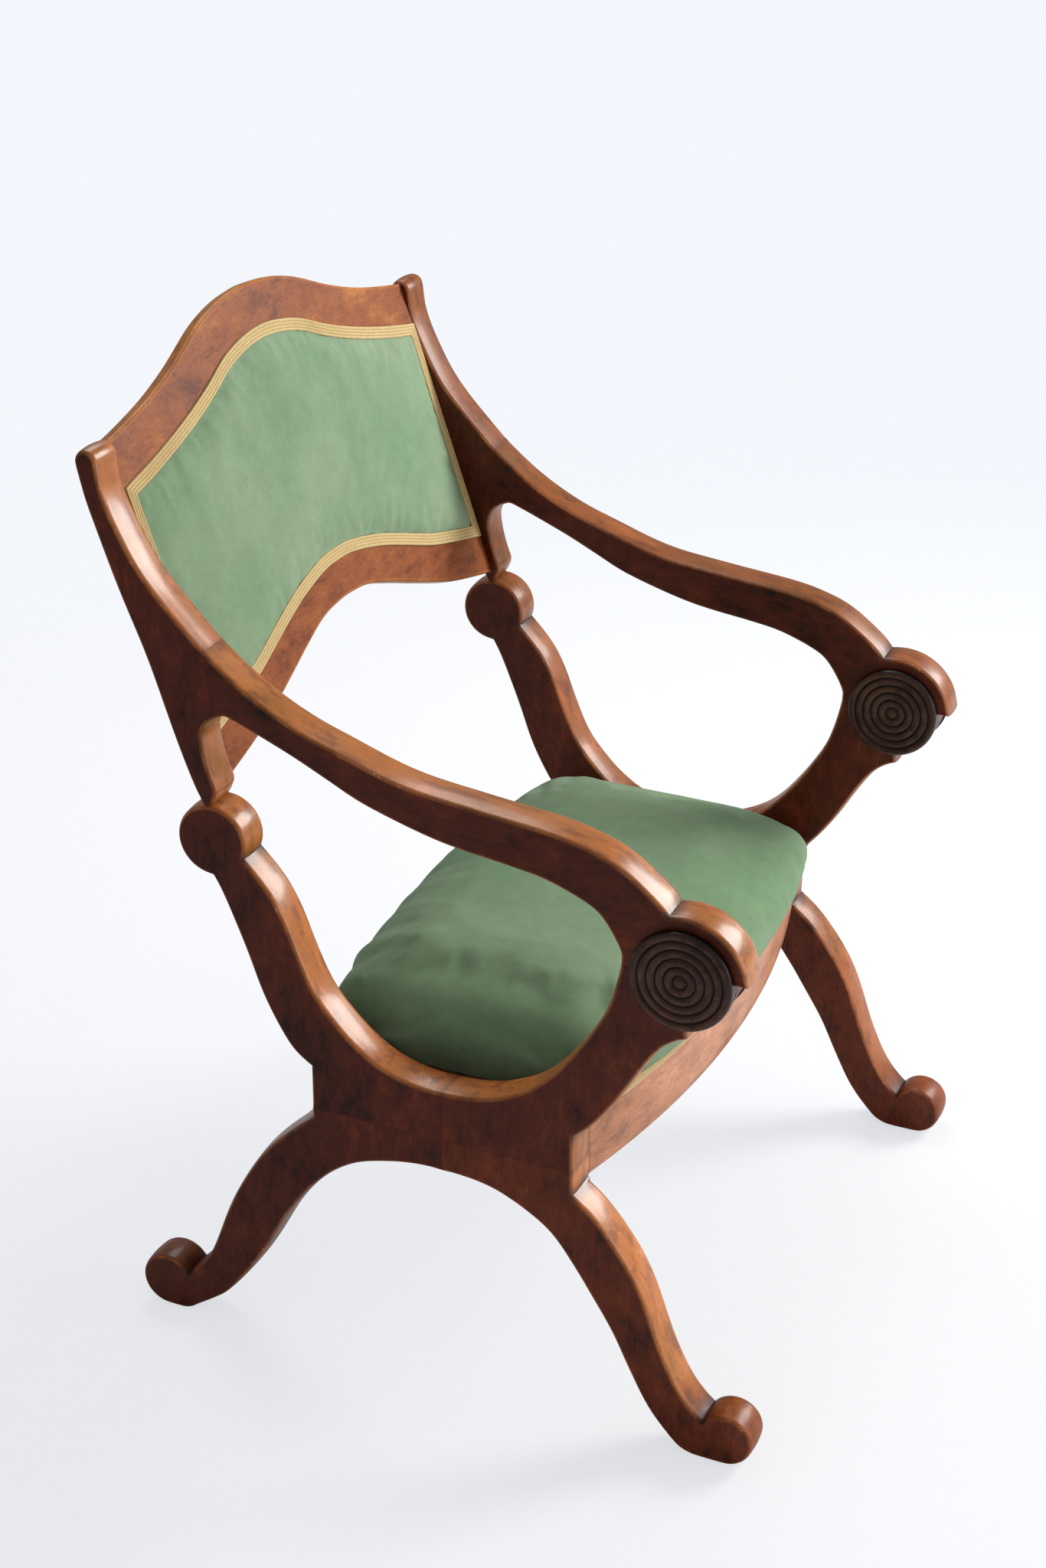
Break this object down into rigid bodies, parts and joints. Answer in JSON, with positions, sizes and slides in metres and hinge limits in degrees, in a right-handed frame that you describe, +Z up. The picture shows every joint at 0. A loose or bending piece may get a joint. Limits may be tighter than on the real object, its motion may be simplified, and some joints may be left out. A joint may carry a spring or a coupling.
{
  "type": "prie-dieu chair",
  "caption": "Low wooden armchair whose back and arms swing forward on pivots, so the padded back becomes an elbow rest for kneeling on the seat.",
  "frame": {"origin": "on the floor, under the middle of the bounding box", "axes": "+Z up, -Y is the front of the chair, +X is the sitter's left; the pivot axis of the back runs along X"},
  "size_m": [0.636, 0.6541, 0.909],
  "materials": {
    "mahogany": "worn wax polish over reddish brown grain",
    "boss_wood": "ebonised, low sheen",
    "inner_wood": "plain planed, unfinished",
    "peg_wood": "plain turned, glued",
    "pin_steel": "bright turned steel",
    "green_cloth": "matt twill weave",
    "gold_braid": "ribbed woven braid with a soft sheen",
    "jute": "coarse plain weave",
    "black_cloth": "thin matt dust cloth"
  },
  "bodies": {
    "frame": {"right_front_upright": "mahogany", "left_front_upright": "mahogany", "right_rear_upright": "mahogany", "left_rear_upright": "mahogany", "right_front_leg": "mahogany", "left_front_leg": "mahogany", "right_rear_leg": "mahogany", "left_rear_leg": "mahogany", "seat_front_rail": "mahogany", "seat_rear_rail": "mahogany", "right_outer_boss": "boss_wood", "right_inner_boss": "boss_wood", "left_outer_boss": "boss_wood", "left_inner_boss": "boss_wood", "right_seat_batten": "inner_wood", "left_seat_batten": "inner_wood", "seat_corner_blocks": "inner_wood", "frame_dowels": "peg_wood", "seat_dowels": "peg_wood", "right_pivot_pin": "pin_steel", "left_pivot_pin": "pin_steel", "seat_cushion": "green_cloth", "seat_front_gimp": "gold_braid", "seat_rear_gimp": "gold_braid", "seat_webbing": "jute", "seat_bottom_cloth": "black_cloth"},
    "back_and_arms": {"right_arm": "mahogany", "left_arm": "mahogany", "right_back_post": "mahogany", "left_back_post": "mahogany", "arm_dowels": "peg_wood", "crest_rail": "mahogany", "lower_back_rail": "mahogany", "right_back_batten": "inner_wood", "left_back_batten": "inner_wood", "rail_dowels": "peg_wood", "back_canvas": "jute", "back_front_pad": "green_cloth", "back_rear_pad": "green_cloth", "back_front_gimp": "gold_braid", "back_rear_gimp": "gold_braid"}
  },
  "joints": [
    {"name": "back_swing", "type": "hinge", "parent": "frame", "child": "back_and_arms", "pos_m": [0, -0.2464, 0.477], "axis": [1, 0, 0], "range_deg": [0, 86]}
  ]
}
